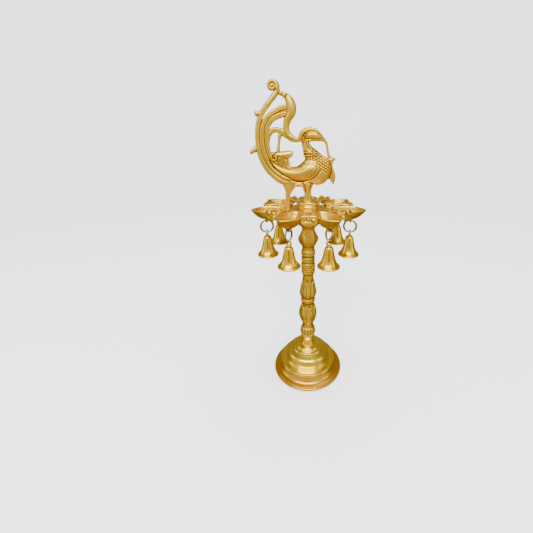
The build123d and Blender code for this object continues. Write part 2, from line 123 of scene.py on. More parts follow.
def strand(points, widths, depths, sides=18, groove=0.0, lift=0.0):
    """Tapered bar along a curve in the bird's plane; points are (x, z), half sizes across and in depth."""
    line = np.column_stack([points, widths, depths])
    length = np.linalg.norm(np.diff(np.array(points, float), axis=0), axis=1).sum()
    s = smooth(line, max(8, int(length / 0.9)))
    tangent = np.gradient(s[:, :2], axis=0)
    tangent /= np.linalg.norm(tangent, axis=1)[:, None] + 1e-9
    across = np.stack([-tangent[:, 1], tangent[:, 0]], 1)
    angle = np.arange(sides) / sides * TURN
    rings = []
    for (x, z, w, d), n in zip(s, across):
        u = w * np.cos(angle)
        v = d * np.sin(angle) * (1 - groove * np.exp(-((np.cos(angle) / 0.3) ** 2)))
        rings.append(np.stack([x + n[0] * u, v + lift, z + n[1] * u], 1))
    tip = [np.repeat(r.mean(0)[None], sides, 0) for r in (rings[0], rings[-1])]
    return skin([tip[0] * 0.98 + rings[0] * 0.02] + rings + [tip[1] * 0.98 + rings[-1] * 0.02])


def bar(points, radii, sides=16):
    """Round tapered bar along a curve in space; points are (x, y, z)."""
    line = np.column_stack([points, radii])
    length = np.linalg.norm(np.diff(line[:, :3], axis=0), axis=1).sum()
    s = smooth(line, max(8, int(length / 0.7)), 3, 16)
    tangent = np.gradient(s[:, :3], axis=0)
    tangent /= np.linalg.norm(tangent, axis=1)[:, None] + 1e-9
    side = np.cross(tangent[0], [0.13, 0.21, 0.97])
    angle = np.arange(sides) / sides * TURN
    rings = []
    for (x, y, z, r), t in zip(s, tangent):
        side = side - t * np.dot(side, t)
        side = side / np.linalg.norm(side)
        other = np.cross(t, side)
        ring = np.outer(np.cos(angle), side) + np.outer(np.sin(angle), other)
        rings.append(np.array([x, y, z]) + r * ring)
    return skin(rings)


def ball(centre, radii, rows=12, sides=20):
    """Ellipsoid."""
    radii = np.broadcast_to(np.array(radii, float), (3,))
    tilt = np.linspace(-math.pi / 2, math.pi / 2, rows)
    angle = np.arange(sides) / sides * TURN
    rings = []
    for t in tilt:
        c = max(math.cos(t), 0.01)
        ring = np.stack([c * np.cos(angle), c * np.sin(angle), np.full(sides, math.sin(t))], 1)
        rings.append(ring * radii + np.array(centre, float))
    return skin(rings)


def torus(centre, major, minor, normal="x", rows=48, sides=16):
    """Round ring; normal is the axis that its hole points along."""
    u = np.arange(rows) / rows * TURN
    v = np.arange(sides) / sides * TURN
    r = major + minor * np.cos(v)[None, :]
    flat = np.stack([r * np.cos(u)[:, None], r * np.sin(u)[:, None],
                     np.broadcast_to(minor * np.sin(v), (rows, sides))], -1)
    order = {"x": (2, 0, 1), "y": (0, 2, 1), "z": (0, 1, 2)}[normal]
    verts = flat[..., order].reshape(-1, 3) + np.array(centre, float)
    i = np.arange(rows)[:, None]
    j = np.arange(sides)[None, :]
    a = i * sides + j
    b = i * sides + (j + 1) % sides
    c = ((i + 1) % rows) * sides + (j + 1) % sides
    d = ((i + 1) % rows) * sides + j
    return verts, np.stack([a, d, c, b], -1).reshape(-1, 4).tolist()


def turned_by(shape, angle, shift=(0, 0, 0)):
    """Shape turned about the stem's axis, after a shift."""
    verts, faces = shape
    v = np.array(verts) + np.array(shift, float)
    c, s = math.cos(angle), math.sin(angle)
    return np.stack([c * v[:, 0] - s * v[:, 1], s * v[:, 0] + c * v[:, 1], v[:, 2]], 1), faces


def build(name, shapes):
    """One mesh object from closed shapes given in millimetres."""
    verts, faces, start = [], [], 0
    for v, f in shapes:
        verts.append(np.array(v))
        faces += [[index + start for index in face] for face in f]
        start += len(v)
    mesh = bpy.data.meshes.new(name)
    mesh.from_pydata((np.vstack(verts) * MM).tolist(), [], faces)
    mesh.update()
    obj = bpy.data.objects.new(name, mesh)
    bpy.context.scene.collection.objects.link(obj)
    return obj


def settle(obj):
    """Applies every modifier to the mesh."""
    bpy.context.view_layer.update()
    done = bpy.data.meshes.new_from_object(obj.evaluated_get(bpy.context.evaluated_depsgraph_get()))
    obj.modifiers.clear()
    old = obj.data
    obj.data = done
    bpy.data.meshes.remove(old)
    done.name = obj.name


def fuse(obj, voxel, rounds=2):
    """Melts overlapping shapes into one casting with soft inner corners."""
    remesh = obj.modifiers.new("cast", "REMESH")
    remesh.mode = "VOXEL"
    remesh.voxel_size = voxel * MM
    ease = obj.modifiers.new("ease", "SMOOTH")
    ease.factor = 0.5
    ease.iterations = rounds
    settle(obj)


def coordinates(obj):
    """Vertex places in millimetres and unit normals."""
    count = len(obj.data.vertices)
    places = np.empty(count * 3, np.float32)
    normals = np.empty(count * 3, np.float32)
    obj.data.vertices.foreach_get("co", places)
    obj.data.vertices.foreach_get("normal", normals)
    return places.reshape(-1, 3).astype(float) / MM, normals.reshape(-1, 3).astype(float)


def carve(obj, depth):
    """Moves the surface along its normals by depth(places, normals), in millimetres."""
    places, normals = coordinates(obj)
    places = places + normals * depth(places, normals)[:, None]
    obj.data.vertices.foreach_set("co", (places * MM).astype(np.float32).ravel())
    obj.data.update()


def mark_worn_and_shaded(obj, rounds=3, gain=1.0, painted_shade=None):
    """Stores how hollow or proud the surface is at each vertex, for dark oxide and painted shade in the
    hollows and polish on the ridges.

    An optional function of the places adds painted shade, most where it returns most.
    """
    places, normals = coordinates(obj)
    count = len(places)
    edges = np.empty(len(obj.data.edges) * 2, np.int32)
    obj.data.edges.foreach_get("vertices", edges)
    a, b = edges.reshape(-1, 2).T
    number = np.bincount(a, minlength=count) + np.bincount(b, minlength=count)
    number = np.maximum(number, 1)
    span = np.linalg.norm(places[a] - places[b], axis=1)
    mean_span = (np.bincount(a, span, count) + np.bincount(b, span, count)) / number
    middle = np.zeros_like(places)
    for k in range(3):
        total = np.bincount(a, places[b, k], count) + np.bincount(b, places[a, k], count)
        middle[:, k] = total / number
    hollow = ((middle - places) * normals).sum(1) / np.maximum(mean_span, 1e-6) ** 2
    for _ in range(rounds):
        total = np.bincount(a, hollow[b], count) + np.bincount(b, hollow[a], count)
        hollow = 0.5 * hollow + 0.5 * total / number
    # Painted shade added where the optional function asks for it.
    if painted_shade is not None:
        hollow = hollow + painted_shade(places) / gain
    # High scores mark hollows, which the brass paints with dark oxide and painted shade; low scores mark
    # ridges, rubbed bright.
    value = np.clip(0.5 + gain * hollow, 0, 1).astype(np.float32)
    layer = obj.data.attributes.new("worn_and_shaded", "FLOAT", "POINT")
    layer.data.foreach_set("value", value)


def finish_piece(obj, material, body, slot, *nodes):
    """Material, smooth faces, and the body that the piece rides on."""
    obj.data.materials.clear()
    obj.data.materials.append(material)
    obj.data.polygons.foreach_set("use_smooth", [True] * len(obj.data.polygons))
    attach(obj, body)
    if nodes:
        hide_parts(*nodes)
    return obj


# ---------------------------------------------------------------- brass
def ramp(nodes, stops):
    """Colour ramp node from (place, colour) pairs."""
    node = nodes.new("ShaderNodeValToRGB")
    band = node.color_ramp
    while len(band.elements) < len(stops):
        band.elements.new(0.5)
    for element, (place, colour) in zip(band.elements, stops):
        element.position = place
        element.color = (*colour, 1.0)
    return node


def noise(nodes, links, scale, detail, vector):
    """Noise texture over object coordinates; scale is in cycles per metre."""
    node = nodes.new("ShaderNodeTexNoise")
    node.inputs["Scale"].default_value = scale
    node.inputs["Detail"].default_value = detail
    node.inputs["Roughness"].default_value = 0.6
    links.new(vector, node.inputs["Vector"])
    return node


def blend(nodes, links, factor, a, b, kind="MIX"):
    """Mix of two colour outputs."""
    node = nodes.new("ShaderNodeMix")
    node.data_type = "RGBA"
    node.blend_type = kind
    links.new(factor, node.inputs["Factor"])
    links.new(a, node.inputs["A"])
    links.new(b, node.inputs["B"])
    return node.outputs["Result"]


def brass(name, bright, body, oxide_shade_tone, rough, grain, turning=0.0, oxide_shade_reach=1.0):
    """Brass whose hollows hold dark oxide and painted shade and whose ridges are rubbed bright.

    rough is (smoothest, roughest); grain is the cast skin's bump; turning adds fine lathe rings.
    """
    material = bpy.data.materials.new(name)
    material.use_nodes = True
    nodes, links = material.node_tree.nodes, material.node_tree.links
    shader = nodes["Principled BSDF"]
    shader.inputs["Metallic"].default_value = 1.0
    place = nodes.new("ShaderNodeTexCoord").outputs["Object"]
    cloud = noise(nodes, links, 60.0, 4.0, place)
    fleck = noise(nodes, links, 480.0, 3.0, place)
    tone = ramp(nodes, [(0.34, body), (0.66, bright)])
    links.new(cloud.outputs["Fac"], tone.inputs["Fac"])
    worn_and_shaded = nodes.new("ShaderNodeAttribute")
    worn_and_shaded.attribute_name = "worn_and_shaded"
    rubbed = ramp(nodes, [(0.25, (1, 1, 1)), (0.44, (0, 0, 0))])
    links.new(worn_and_shaded.outputs["Fac"], rubbed.inputs["Fac"])
    polish = ramp(nodes, [(0.0, bright), (1.0, [min(1.0, 1.15 * c) for c in bright])])
    links.new(cloud.outputs["Fac"], polish.inputs["Fac"])
    proud = blend(nodes, links, rubbed.outputs["Color"], tone.outputs["Color"], polish.outputs["Color"])
    mottle = nodes.new("ShaderNodeMath")
    mottle.operation = "MULTIPLY_ADD"
    links.new(fleck.outputs["Fac"], mottle.inputs[0])
    mottle.inputs[1].default_value = 0.14
    links.new(worn_and_shaded.outputs["Fac"], mottle.inputs[2])
    # Painted shade with dark oxide: hollows, by the stored vertex score, take the dark tone below.
    hollow = ramp(nodes, [(0.58, (0, 0, 0)), (0.58 + 0.13 / max(oxide_shade_reach, 0.1), (1, 1, 1))])
    links.new(mottle.outputs[0], hollow.inputs["Fac"])
    oxide_shade_ramp = ramp(nodes, [(0.3, oxide_shade_tone), (0.7, [min(1.0, 1.7 * c) for c in oxide_shade_tone])])
    links.new(fleck.outputs["Fac"], oxide_shade_ramp.inputs["Fac"])
    colour = blend(nodes, links, hollow.outputs["Color"], proud, oxide_shade_ramp.outputs["Color"])
    links.new(colour, shader.inputs["Base Color"])
    dull = nodes.new("ShaderNodeMath")
    dull.operation = "MULTIPLY_ADD"
    links.new(hollow.outputs["Color"], dull.inputs[0])
    dull.inputs[1].default_value = 0.6
    links.new(cloud.outputs["Fac"], dull.inputs[2])
    sheen = nodes.new("ShaderNodeMapRange")
    sheen.inputs["To Min"].default_value = rough[0]
    sheen.inputs["To Max"].default_value = rough[1]
    links.new(dull.outputs[0], sheen.inputs["Value"])
    links.new(sheen.outputs["Result"], shader.inputs["Roughness"])
    height = fleck.outputs["Fac"]
    if turning:
        rings = nodes.new("ShaderNodeTexWave")
        rings.bands_direction = "Z"
        rings.inputs["Scale"].default_value = 700.0
        rings.inputs["Distortion"].default_value = 1.5
        rings.inputs["Detail"].default_value = 1.0
        links.new(place, rings.inputs["Vector"])
        mixed = nodes.new("ShaderNodeMath")
        mixed.operation = "MULTIPLY_ADD"
        links.new(rings.outputs["Fac"], mixed.inputs[0])
        mixed.inputs[1].default_value = turning
        links.new(fleck.outputs["Fac"], mixed.inputs[2])
        height = mixed.outputs[0]
    bump = nodes.new("ShaderNodeBump")
    bump.inputs["Strength"].default_value = grain
    bump.inputs["Distance"].default_value = 0.0003
    links.new(height, bump.inputs["Height"])
    links.new(bump.outputs["Normal"], shader.inputs["Normal"])
    return material


CAST = brass("cast_brass", (0.93, 0.62, 0.05), (0.82, 0.48, 0.028), (0.22, 0.08, 0.005), (0.26, 0.42), 0.6)
POLISHED = brass("polished_brass", (0.95, 0.71, 0.085), (0.90, 0.62, 0.045), (0.50, 0.21, 0.012),
                 (0.18, 0.30), 0.06, 0.3)
BELL = brass("bell_brass", (0.96, 0.66, 0.03), (0.90, 0.53, 0.018), (0.45, 0.18, 0.01),
             (0.13, 0.24), 0.08, 0.4)
AGED = brass("aged_brass", (0.50, 0.32, 0.10), (0.34, 0.20, 0.06), (0.10, 0.055, 0.02), (0.36, 0.55), 0.3)


# ---------------------------------------------------------------- peacock finial
def bird_point(x, z):
    """Point of the bird's plane; z is counted from the ankles."""
    return x, z + BIRD_ZERO


def limb(points, widths, depths, **more):
    """Strand from points counted from the ankles; one depth may serve the whole strand."""
    depths = np.broadcast_to(np.array(depths, float), (len(points),))
    widths = np.broadcast_to(np.array(widths, float), (len(points),))
    return strand([bird_point(x, z) for x, z in points], widths, depths, **more)


def knot(x, z, radii, y=0.0):
    """Rounded lump on the bird, counted from the ankles."""
    return ball((x, y, BIRD_ZERO + z), radii)


def spiral(centre, start, turn, outer, inner, count=16):
    """Points of a spiral; start and turn are in degrees, radii run from outer to inner."""
    made = []
    for share in np.linspace(0, 1, count):
        a = math.radians(start + turn * share)
        r = outer + (inner - outer) * share**0.9
        made.append((centre[0] + r * math.cos(a), centre[1] + r * math.sin(a)))
    return made


def tail_shapes():
    """Ridged feather strands of the tail, its plume, paisley leaf and struts."""
    outer_edge = [(-6, 18.6), (-20, 17.8), (-33, 20.4), (-46, 29), (-56, 40.5), (-62, 54), (-64.4, 68),
                  (-64.6, 81), (-62.5, 94), (-57, 105.5), (-50.5, 114), (-43.6, 122), (-38.2, 128.6)]
    plume = outer_edge[-3:] + spiral((-44.0, 134.2), -25, 540, 6.2, 1.2, 20)
    middle = [(-8, 20), (-19, 21.4), (-32, 26.6), (-42.5, 34.6), (-51, 45), (-56.3, 56.5), (-58.6, 68),
              (-58.8, 81), (-56.3, 92), (-49.6, 101.4), (-40.5, 107), (-32, 110.6), (-25.5, 111)]
    inner = [(-20, 26.5), (-30, 32.5), (-39, 39.5), (-46.5, 48.5), (-51.2, 59), (-53, 69), (-53.4, 79),
             (-51.8, 89), (-45.6, 97.3), (-37.5, 101.6), (-30, 103.4), (-24.5, 103)]
    bridge = [(-52.5, 70), (-50.6, 78.5), (-46, 84.6), (-39, 85.4), (-32, 82.2), (-26, 79.2), (-20.5, 75),
              (-13.5, 73.9), (-8, 75.5)]
    paisley = [(-31.5, 126), (-27, 123), (-23.4, 117.5), (-21.6, 111), (-22.4, 104.5), (-25.8, 98.5),
               (-28, 92), (-28.3, 86.5), (-26.5, 80.5), (-21, 76)]
    shapes = [
        limb(outer_edge, [4.0, 3.5, 3.9, 3.7, 3.5, 3.5, 3.3, 3.2, 3.2, 3.3, 3.5, 3.5, 3.4],
             3.4, groove=0.22),
        limb(plume, [3.5, 3.5, 3.3] + taper(3.0, 1.3, 20), [3.3] * 3 + taper(4.2, 3.0, 20)),
        limb(middle, [3.0, 2.8, 3.1, 3.2] + [3.3] * 6 + [3.4, 3.4, 2.4], 3.8, groove=0.24),
        limb(inner, [2.6, 3.0, 3.1, 3.1, 3.0, 3.0, 3.0, 3.1, 3.3, 3.4, 3.2, 2.2], 3.6, groove=0.24),
        limb(bridge, [2.6, 3.0, 3.3, 3.4, 4.4, 4.8, 4.0, 3.0, 3.0], 3.6, groove=0.2),
        limb(paisley, [1.2, 3.6, 5.4, 6.2, 5.9, 5.0, 4.1, 3.9, 3.7, 3.0],
             [2.0, 3.4, 4.6, 5.0, 4.8, 4.4, 3.9, 3.7, 3.6, 3.4], sides=28),
        limb([(-36.4, 80), (-37.4, 74), (-38.6, 66), (-39.6, 58)], [3.0, 1.9, 1.9, 2.8], 2.8),
        limb([(-57, 103.4), (-60.6, 104.2), (-64, 104.4)], [3.6, 2.7, 2.7], 2.8),
        limb([(-63.5, 64.5), (-67.6, 62.6), (-71.4, 60.6), (-74.3, 58.8)], [5.4, 4.0, 2.9, 1.9], 3.0),
        limb([(-48, 45), (-42, 44), (-35, 43), (-29, 38)], [8.0, 12.0, 12.5, 8.0], 3.3, sides=28),
        limb([(-50, 54), (-43, 53), (-36, 53), (-30, 52)], [5.0, 6.6, 6.0, 5.0], 3.3, sides=28),
        limb([(-50, 98), (-42, 103), (-34, 106.5), (-27, 107)], [3.0, 4.0, 5.0, 6.0], 2.6),
    ]
    shapes.append(knot(-63.9, 104.2, (3.5, 3.2, 3.5)))
    shapes.append(knot(-73.6, 58.9, (2.3, 2.8, 2.6)))
    shapes.append(knot(-44.6, 134.2, (2.0, 3.6, 2.0)))
    shapes.append(knot(-34.0, 126.2, (2.8, 4.2, 2.6)))
    shapes.append(knot(-29.4, 124.4, (3.6, 5.0, 3.2)))
    return shapes


def inner_leaf_shapes():
    """Comma-shaped leaf inside the tail with its curled volute, on the plate behind the wing."""
    tongue = [(-46, 55), (-39, 55.4), (-32.5, 55.0), (-27, 56.0), (-23, 56.8), (-20.2, 56.2)]
    curl = spiral((-43.8, 52.6), 80, 460, 5.5, 0.6)
    return [
        limb(tongue, [2.6, 4.2, 5.4, 5.2, 4.4, 2.6], [3.2, 3.9, 4.2, 4.2, 3.8, 2.8]),
        limb([(-36, 54), (-34, 47), (-31.5, 38)], [6.6, 6.4, 6.0], [3.9, 4.2, 4.6], sides=28),
        limb([(-29.8, 50), (-30.2, 45), (-27.4, 39.6), (-22, 36.5)], [3.4, 2.6, 3.4, 4.6], 4.0),
        limb(curl, taper(1.8, 1.2), taper(4.9, 4.5)),
        limb([(-38.5, 51), (-37.2, 45.4), (-33, 40)], [0.7, 1.1, 0.7], 5.2),
        limb([(-48.5, 48.6), (-44.6, 43.4), (-39, 39), (-33, 36.4)], [0.9, 1.2, 1.2, 0.9], 5.0),
        limb([(-36, 55.6), (-32.6, 51), (-31.6, 45)], [0.7, 1.0, 0.6], 4.9),
    ]


def body_shapes():
    """Egg-shaped body with a swept wing standing proud on both sides."""
    spine = [(-36, 27), (-28, 29.5), (-18, 31), (-7, 33), (4, 35.8), (13, 37.4), (21, 39), (26.5, 40),
             (30.2, 40.5)]
    half = [3.0, 7.0, 8.8, 12.6, 18.6, 20.0, 16.4, 10.8, 2.0]
    depth = [3.0, 5.2, 7.4, 9.0, 9.9, 9.6, 8.0, 5.6, 1.5]
    wing = [(-47.5, 46.5), (-40, 39.4), (-31, 34.6), (-21, 32.4), (-10, 32.6), (-1, 36), (7, 38.2),
            (12.6, 38.2)]
    wing_half = [1.0, 3.8, 5.8, 8.2, 10.2, 12.4, 10.4, 2.0]
    wing_depth = [4.2, 5.6, 7.4, 9.4, 10.9, 11.3, 10.8, 8.8]
    return [limb(spine, half, depth, sides=48), limb(wing, wing_half, wing_depth, sides=48)]


def head_shapes():
    """Neck with its collar, hooded head, beak, and the garland held in it."""
    neck = [(8, 49), (2.2, 57), (-1.5, 63), (-4.2, 70), (-4.0, 76.5)]
    hood = [(-12, 74.5), (-9.2, 81), (-4.4, 85), (2.0, 86.2), (8.8, 84), (14.2, 79.2), (19.2, 73.8),
            (22.8, 69.6)]
    rim = [(-7.4, 71), (-6.4, 76.6), (-3.2, 81), (2.0, 83.2), (8, 82.2), (14.4, 77.8)]
    dome = [(-4.6, 77.6), (0.6, 79.2), (6.0, 79.4), (11, 78.2), (15.4, 75.8)]
    jaw = [(-3, 73.5), (5, 73.9), (13, 74), (19.5, 73)]
    garland = [(22.2, 71), (23.2, 66), (24.6, 59), (26.4, 52)]
    shapes = [
        limb(neck, [11.5, 9.0, 6.2, 5.0, 5.0], [7.8, 6.6, 5.0, 4.4, 4.4], sides=32),
        limb([(-2.6, 73.5), (0.2, 66.5), (4.6, 61)], [1.3, 1.9, 2.4], [4.8, 5.6, 6.6]),
        limb(hood, [2.4, 2.7, 2.7, 2.5, 2.5, 2.4, 2.1, 1.6], [3.6, 4.4, 4.8, 4.9, 4.7, 4.0, 3.2, 2.2]),
        limb(rim, [1.1, 1.2, 1.2, 1.1, 1.1, 0.9], [5.2, 6.0, 6.4, 6.3, 5.6, 4.4]),
        limb(dome, [2.8, 4.8, 5.3, 4.6, 2.4], [4.6, 7.0, 7.6, 6.6, 3.8], sides=28),
        limb([(-5.5, 70), (-3, 76), (3, 80)], [4.4, 4.6, 4.0], 3.9),
        limb(jaw, [2.4, 2.0, 1.9, 1.4], [4.0, 4.6, 3.8, 2.4]),
        limb(garland, [1.8, 1.6, 1.7, 2.2], [2.2, 2.0, 2.0, 2.4]),
        limb([(24.4, 49.4), (28.4, 49.6), (31.6, 50), (35.2, 50.6)], [1.4, 3.6, 2.6, 0.6],
             [2.0, 3.0, 2.4, 1.2]),
        limb([(28.4, 53.4), (28.6, 49), (29.2, 44.6)], [0.9, 3.2, 2.2], [1.4, 3.2, 2.6]),
        limb([(28.6, 46), (29.6, 39), (30.8, 32), (31.6, 26), (33.2, 17.6)], [2.0, 2.6, 4.0, 4.2, 0.7],
                     [2.6, 2.8, 3.2, 3.0, 1.2], groove=0.25),
        limb([(31, 31), (28, 28), (25.4, 25.4)], [2.6, 2.4, 1.2], [2.6, 2.4, 1.4]),
    ]
    for height, depth in ((59.0, 7.4), (55.6, 8.6)):
        collar = [(-7.6, height + 0.2), (-2, height - 0.5), (5, height - 0.6), (12.4, height - 0.2)]
        shapes.append(limb(collar, [0.9, 1.2, 1.2, 0.9], [depth - 1.8, depth, depth, depth - 1.6]))
    for side in (-1, 1):
        shapes.append(knot(4.6, 79.6, (1.5, 1.1, 1.3), side * 7.2))
    return shapes


def leg_shapes():
    """Rear support that stands on the tray and front leg that stands on the seat."""
    tray = HUB_TOP - BIRD_ZERO
    seat_level = SEAT_TOP - BIRD_ZERO
    rear = [(-25.5, 22), (-25.8, 15.6), (-26.6, 10), (-27.6, 5.3), (-28.4, -2), (-29, -8), (-29.2, tray)]
    front = [(-1.3, 23), (-1.0, 16), (-0.9, 9.8), (-1.1, 4), (-1.2, seat_level)]
    return [
        limb(rear, [10.0, 8.4, 5.4, 3.7, 3.0, 3.0, 4.2], [3.8, 3.6, 3.2, 3.0, 2.9, 2.9, 3.0], groove=0.15),
        limb(front, [9.6, 6.8, 4.7, 4.9, 6.0], [6.4, 5.2, 4.3, 4.4, 5.4], groove=0.12),
        limb([(-1.0, 20), (-1.1, 14), (-1.3, 8)], [6.0, 4.2, 2.0], [7.2, 6.0, 4.4]),
        limb([(-23, 9), (-20.6, 14.4), (-15.4, 18.2), (-9.6, 17.6), (-6.2, 13.6), (-5.4, 8)],
                     [1.4, 1.9, 2.1, 2.1, 1.9, 1.2], [2.8, 3.2, 3.6, 3.6, 3.8, 3.4]),
    ]


def near_line(places, line):
    """Distance in the bird's plane from each place to a polyline, and the share of the way along it."""
    points = smooth([bird_point(x, z) for x, z in line], 60)
    flat = places[:, [0, 2]]
    best = np.full(len(flat), 1e9)
    along = np.zeros(len(flat))
    for i, (a, b) in enumerate(zip(points, points[1:])):
        d = b - a
        t = np.clip(((flat - a) @ d) / (d @ d), 0, 1)
        gap = np.linalg.norm(flat - (a + t[:, None] * d), axis=1)
        closer = gap < best
        best[closer] = gap[closer]
        along[closer] = (i + t[closer]) / (len(points) - 1)
    return best, along


def inside(places, outline):
    """True for places whose point in the bird's plane lies in a closed outline."""
    x, z = places[:, 0], places[:, 2]
    corners = [bird_point(*p) for p in outline]
    odd = np.zeros(len(x), bool)
    for (ax, az), (bx, bz) in zip(corners, corners[1:] + corners[:1]):
        crosses = (az > z) != (bz > z)
        odd ^= crosses & (x < (bx - ax) * (z - az) / (bz - az + 1e-9) + ax)
    return odd


def chase_bird(places, normals):
    """Chased relief: wing outline, feather lines, breast beads and the grain of the strands."""
    depth = np.zeros(len(places))
    broad = np.abs(normals[:, 1]) > 0.25
    edge = [(-50, 48), (-44.4, 39), (-35.5, 32.3), (-25.2, 26.1), (-13.6, 22), (-2, 23.2), (5, 26.1),
            (10.7, 31.2), (15.2, 36.8)]
    gap, _ = near_line(places, edge)
    depth -= 1.7 * np.exp(-((gap / 1.0) ** 2)) * broad
    wing = [(-46, 46)] + edge[1:] + [(7, 49), (1, 53), (-5, 47), (-11, 43), (-18, 41.5), (-27, 45)]
    on_wing = inside(places, wing) & broad
    band = [(-40, 44), (-27.3, 39), (-15.8, 36.2), (-6.6, 39), (-0.9, 46.8), (2, 51)]
    gap, _ = near_line(places, band)
    depth[on_wing] -= 0.5 * np.exp(-((gap[on_wing] / 0.55) ** 2))
    u, v = places[:, 0], places[:, 2] - BIRD_ZERO
    barb = 0.5 + 0.5 * np.cos(TURN * (u * 0.86 + v * 0.5 + 0.5 * np.sin(v * 0.5)) / 1.9)
    depth[on_wing] -= 0.16 * barb[on_wing] ** 2
    bib = [(-1, 55), (11.4, 57.2), (22.8, 50.1), (29, 42), (26, 34), (19, 33), (7, 49), (-1, 52.2)]
    breast = inside(places, bib) & broad
    tilt = math.radians(-31)
    across = u * math.cos(tilt) + v * math.sin(tilt)
    up = -u * math.sin(tilt) + v * math.cos(tilt)
    pitch = 3.7
    row = up / (pitch * 0.86)
    offset = 0.5 * (np.floor(row) % 2)
    cell = np.hypot((across / pitch + offset) % 1 - 0.5, row % 1 - 0.5)
    bead = 0.85 * np.clip(1 - (cell / 0.5) ** 2, 0, 1) - 0.45
    depth[breast] += bead[breast]
    strands = (u < -49) | (v > 84)
    hatch = 0.5 + 0.5 * np.cos(TURN * (u + v * 1.3) / 2.6)
    depth[strands & broad] -= 0.14 * hatch[strands & broad] ** 3
    return depth


def peacock():
    """Pierced casting of the finial."""
    shapes = tail_shapes() + inner_leaf_shapes() + body_shapes() + head_shapes() + leg_shapes()
    obj = build("peacock", shapes)
    fuse(obj, 0.42, 2)
    carve(obj, chase_bird)
    mark_worn_and_shaded(obj, 3, 2.3)
    return finish_piece(obj, CAST, "stand", "cast_brass", "peacock_finial")


peacock()


# ---------------------------------------------------------------- stem and base
STEM_SEGMENTS = 168
SOCKET_LIMIT = 8.0
SPIGOT_RADIUS = 4.95
SPIGOT_TIP_RADIUS = 4.5
SPIGOT_LENGTH = 14.9
SOCKET_RADIUS = 5.1
SOCKET_DEPTH = 15.9
SPIGOT_CHAMFER = 0.5


def spigot(level, direction):
    """Profile of a spigot from its tip to the shoulder, below (-1) or above (1) a level."""
    tip = level + direction * SPIGOT_LENGTH
    return [(0.02, tip), (SPIGOT_TIP_RADIUS, tip), (SPIGOT_RADIUS, tip - direction * SPIGOT_CHAMFER),
            (SPIGOT_RADIUS, level + direction * 0.05)]


def filleted(corners, steps=7):
    """Profile through (radius, height, fillet) corners, each rounded by an arc of its fillet."""
    p = np.array(corners, float)
    made = [p[0, :2]]
    for before, here, after in zip(p, p[1:], p[2:]):
        a, b = before[:2] - here[:2], after[:2] - here[:2]
        la, lb = np.linalg.norm(a), np.linalg.norm(b)
        a, b = a / la, b / lb
        half = 0.5 * math.acos(max(-1.0, min(1.0, float(a @ b))))
        if here[2] <= 0 or half > 1.55:
            made.append(here[:2])
            continue
        reach = min(here[2] / math.tan(half), 0.49 * la, 0.49 * lb)
        for t in np.linspace(0, 1, steps):
            made.append(here[:2] + a * reach * (1 - t) ** 2 + b * reach * t**2)
    made.append(p[-1, :2])
    return np.array(made)


def lobes(angle, number):
    """Rounded flutes: 0 in the valleys and 1 on the crests."""
    return np.abs(np.cos(number * angle / 2)) ** 0.7


def window(height, start, end, soft):
    """1 between two heights, fading over a soft distance inside them."""
    rise = min(1.0, max(0.0, (height - start) / soft))
    fall = min(1.0, max(0.0, (end - height) / soft))
    return rise * rise * (3 - 2 * rise) * fall * fall * (3 - 2 * fall)


def petals(angle, height, start, end, number):
    """Relief of pointed petals standing side by side, with a second row showing between their tips."""
    share = (height - start) / (end - start)
    if not 0 < share < 1:
        return np.zeros_like(angle)
    relief = np.full_like(angle, -0.55)
    for offset, strength, reach in ((0.5, 0.45, min(1.0, share * 0.95)), (0.0, 1.0, min(1.0, share * 1.12))):
        local = np.abs((angle / TURN * number + offset) % 1 - 0.5)
        half = 0.5 * max(0.0, 1 - reach**3.2) ** 0.7
        if half < 0.02:
            continue
        body = np.clip((half - local) / 0.07, 0, 1)
        crown = strength * (1 - 0.45 * (local / half) ** 2)
        vein = 0.35 * np.exp(-((local / 0.03) ** 2))
        relief = np.where(body > 0, np.maximum(relief, body * (crown - vein) - 0.55 * (1 - body)), relief)
    return relief


def lower_stem_radius(radius, height, angle):
    """Flutes on the collar and petals on the two balusters."""
    h = height - BASE_TOP
    radius = radius - 1.5 * window(h, 1.0, 16.8, 3.0) * (1 - lobes(angle, 14))
    radius = radius + 1.25 * petals(angle, h, 29.0, 61.5, 7) * window(h, 27.0, 62.5, 3.0)
    radius = radius + 1.15 * petals(angle + 0.2, h, 73.5, 105.0, 6) * window(h, 73.0, 108.0, 3.0)
    radius = radius + 0.7 * beads(angle, h, 64.4, 3.3, 17, 2) * window(h, 64.0, 71.6, 0.6)
    return radius


def beads(angle, height, start, pitch, number, rows):
    """Rows of cast beads, every second row shifted by half a bead."""
    row = (height - start) / pitch
    if not 0 <= row < rows:
        return np.zeros_like(angle)
    u = (angle / TURN * number + 0.5 * (int(row) % 2)) % 1 - 0.5
    v = row % 1 - 0.5
    return np.sqrt(np.clip(1 - (u / 0.5) ** 2 - (v / 0.5) ** 2, 0, 1)) - 0.5


def upper_stem_radius(radius, height, angle):
    """Bead rows and rope on the drum, and flat faces round the knob."""
    h = height - STEM_JOINT
    radius = radius + 1.3 * beads(angle, h, 3.6, 3.3, 15, 5) * window(h, 3.4, 20.2, 0.6)
    radius = radius - 0.8 * window(h, 23.0, 29.6, 0.8) * (1 - lobes(angle + 0.12 * h, 18))
    radius = radius + 0.8 * beads(angle, h, 33.2, 3.4, 16, 2) * window(h, 33.0, 40.2, 0.6)
    turn = TURN / 6
    local = (angle + TURN / 4 + turn / 2 - 0.06) % turn - turn / 2
    flat = math.cos(turn / 2) / np.cos(local)
    strength = math.exp(-(((h - 57.0) / 7.5) ** 4))
    return radius * (1 - strength * (1 - flat))


